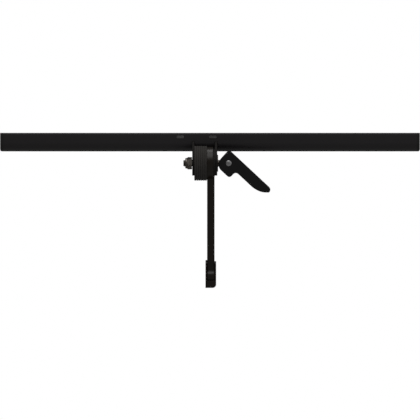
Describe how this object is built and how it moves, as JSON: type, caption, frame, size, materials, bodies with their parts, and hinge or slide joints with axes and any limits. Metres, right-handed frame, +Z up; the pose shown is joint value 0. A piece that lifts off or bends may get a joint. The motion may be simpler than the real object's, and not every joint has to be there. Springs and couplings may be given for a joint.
{
  "type": "picture light",
  "caption": "Slim black LED bar picture light that tilts on a cam-clamped hinge at the top of a short arm, which swings in a small screw-down fork foot.",
  "frame": {"origin": "centre of the foot's flat underside, between its two tapped holes, in the arm's plane", "axes": "+X along the light bar, from the lock nut towards the cam lever; +Z up the arm; the diffuser faces +Y at rest"},
  "size_m": [0.5001, 0.058, 0.1846],
  "materials": {
    "black_aluminium": "black anodised extrusion, satin",
    "black_steel": "black powder coat",
    "black_plastic": "moulded, fine grain",
    "ribbed_rubber": "matte, ribbed round its rim",
    "zinc_steel": "zinc plated, slightly yellowed",
    "dark_steel": "blackened steel",
    "bright_steel": "turned steel",
    "grey_plastic": "moulded grey plastic",
    "opal": "opal diffuser sheet",
    "board_white": "white solder mask",
    "circuit_green": "green solder mask",
    "led_face": "phosphor under clear resin",
    "bronze": "sintered bronze",
    "nylon": "nylon locking ring",
    "copper": "enamelled copper winding",
    "red_sleeve": "wire insulation",
    "black_sleeve": "wire insulation"
  },
  "bodies": {
    "foot": {"foot_fork": "black_steel", "foot_pin": "dark_steel"},
    "arm": {"arm": "black_steel", "hinge_bush": "bronze", "foot_bush": "bronze"},
    "lamp": {"bar_housing": "black_aluminium", "left_end_cap": "black_plastic", "right_end_cap": "black_plastic", "end_cap_screw_1": "dark_steel", "end_cap_screw_2": "dark_steel", "end_cap_screw_3": "dark_steel", "end_cap_screw_4": "dark_steel", "diffuser": "opal", "led_board": "board_white", "led_01": "led_face", "led_02": "led_face", "led_03": "led_face", "led_04": "led_face", "led_05": "led_face", "led_06": "led_face", "led_07": "led_face", "led_08": "led_face", "led_09": "led_face", "led_10": "led_face", "led_11": "led_face", "led_12": "led_face", "driver_board": "circuit_green", "driver_coil": "copper", "driver_capacitor": "black_plastic", "driver_chip": "black_plastic", "link_pin_1": "bright_steel", "link_pin_2": "bright_steel", "dc_inlet": "black_plastic", "lead_positive": "red_sleeve", "lead_negative": "black_sleeve", "slot_plug_1": "grey_plastic", "slot_plug_2": "grey_plastic", "yoke_bracket": "black_steel", "bracket_screw_1": "zinc_steel", "bracket_screw_2": "zinc_steel", "hinge_drum": "ribbed_rubber", "drum_washer": "dark_steel", "cheek_washer": "dark_steel", "hinge_bolt": "zinc_steel", "lock_nut": "zinc_steel", "nylon_ring": "nylon", "cam_washer": "bright_steel"},
    "lever": {"cam_lever": "black_plastic", "lever_pin": "bright_steel"}
  },
  "joints": [
    {"name": "arm_swing", "type": "hinge", "parent": "foot", "child": "arm", "pos_m": [0, 0, 0.0138], "axis": [1, 0, 0], "range_deg": [-90, 90]},
    {"name": "lamp_tilt", "type": "hinge", "parent": "arm", "child": "lamp", "pos_m": [0, 0, 0.1484], "axis": [1, 0, 0], "range_deg": [-90, 180]},
    {"name": "lever_throw", "type": "hinge", "parent": "lamp", "child": "lever", "pos_m": [0.0212, 0, 0.1484], "axis": [0, 1, 0], "range_deg": [-43, 47]}
  ]
}
